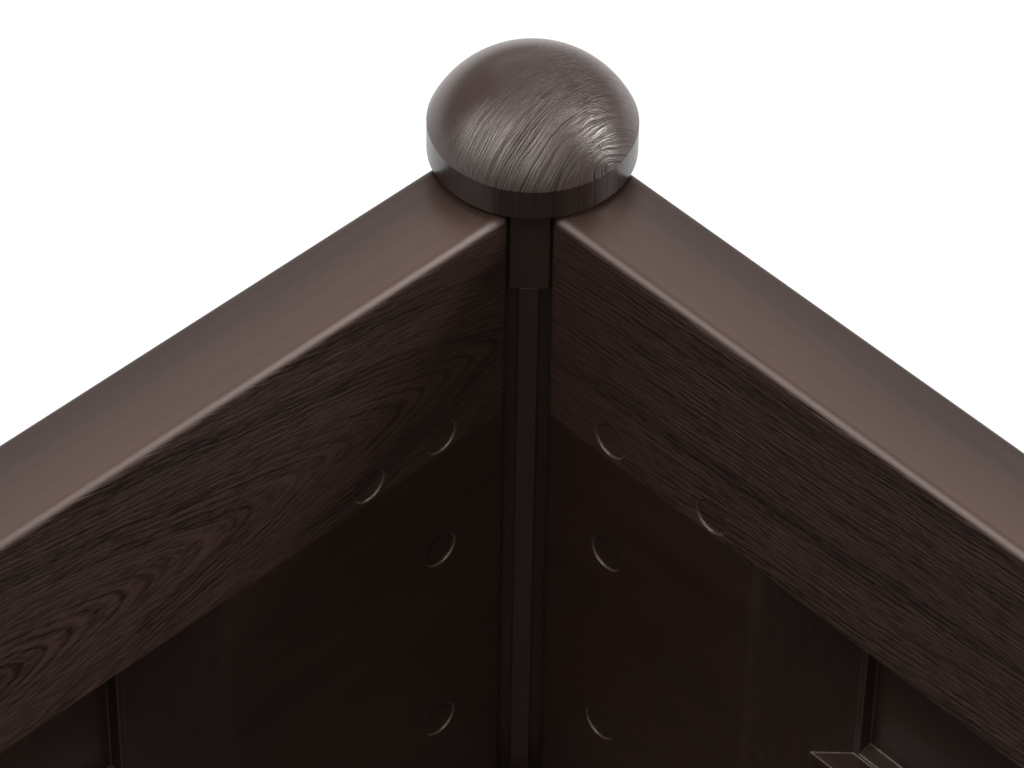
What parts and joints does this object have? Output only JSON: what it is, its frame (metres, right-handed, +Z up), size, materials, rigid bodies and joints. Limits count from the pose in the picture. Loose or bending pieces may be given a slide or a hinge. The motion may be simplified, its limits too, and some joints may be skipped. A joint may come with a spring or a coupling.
{
  "type": "raised planter",
  "caption": "Low rectangular garden planter of thick wood-grained plastic walls between round corner posts with lift-off dome caps, on a drained floor.",
  "frame": {"origin": "on the ground at the middle of the planter", "axes": "+Z up, +X along the long side, +Y towards the back wall"},
  "size_m": [1, 0.8, 0.3637],
  "materials": {
    "wall_plastic": "dark brown moulded plastic, satin rail tops, wood grain moulded into the faces",
    "post_plastic": "dark brown moulded plastic, satin",
    "cap_plastic": "dark brown moulded plastic, satin, with a fine wood grain",
    "foot_plastic": "near-black moulded plastic",
    "floor_plastic": "dark brown moulded plastic, matt"
  },
  "bodies": {
    "planter": {"wall_back": "wall_plastic", "wall_front": "wall_plastic", "wall_right": "wall_plastic", "wall_left": "wall_plastic", "post_back_right": "post_plastic", "collar_back_right": "post_plastic", "foot_back_right": "foot_plastic", "post_back_left": "post_plastic", "collar_back_left": "post_plastic", "foot_back_left": "foot_plastic", "post_front_left": "post_plastic", "collar_front_left": "post_plastic", "foot_front_left": "foot_plastic", "post_front_right": "post_plastic", "collar_front_right": "post_plastic", "foot_front_right": "foot_plastic", "floor_left": "floor_plastic", "floor_centre": "floor_plastic", "floor_right": "floor_plastic"},
    "cap_back_right": {"cap_back_right": "cap_plastic"},
    "cap_back_left": {"cap_back_left": "cap_plastic"},
    "cap_front_left": {"cap_front_left": "cap_plastic"},
    "cap_front_right": {"cap_front_right": "cap_plastic"}
  },
  "joints": [
    {"name": "lift_cap_back_right", "type": "slide", "parent": "planter", "child": "cap_back_right", "axis": [0, 0, 1], "range_m": [0, 0.06]},
    {"name": "lift_cap_back_left", "type": "slide", "parent": "planter", "child": "cap_back_left", "axis": [0, 0, 1], "range_m": [0, 0.06]},
    {"name": "lift_cap_front_left", "type": "slide", "parent": "planter", "child": "cap_front_left", "axis": [0, 0, 1], "range_m": [0, 0.06]},
    {"name": "lift_cap_front_right", "type": "slide", "parent": "planter", "child": "cap_front_right", "axis": [0, 0, 1], "range_m": [0, 0.06]}
  ]
}
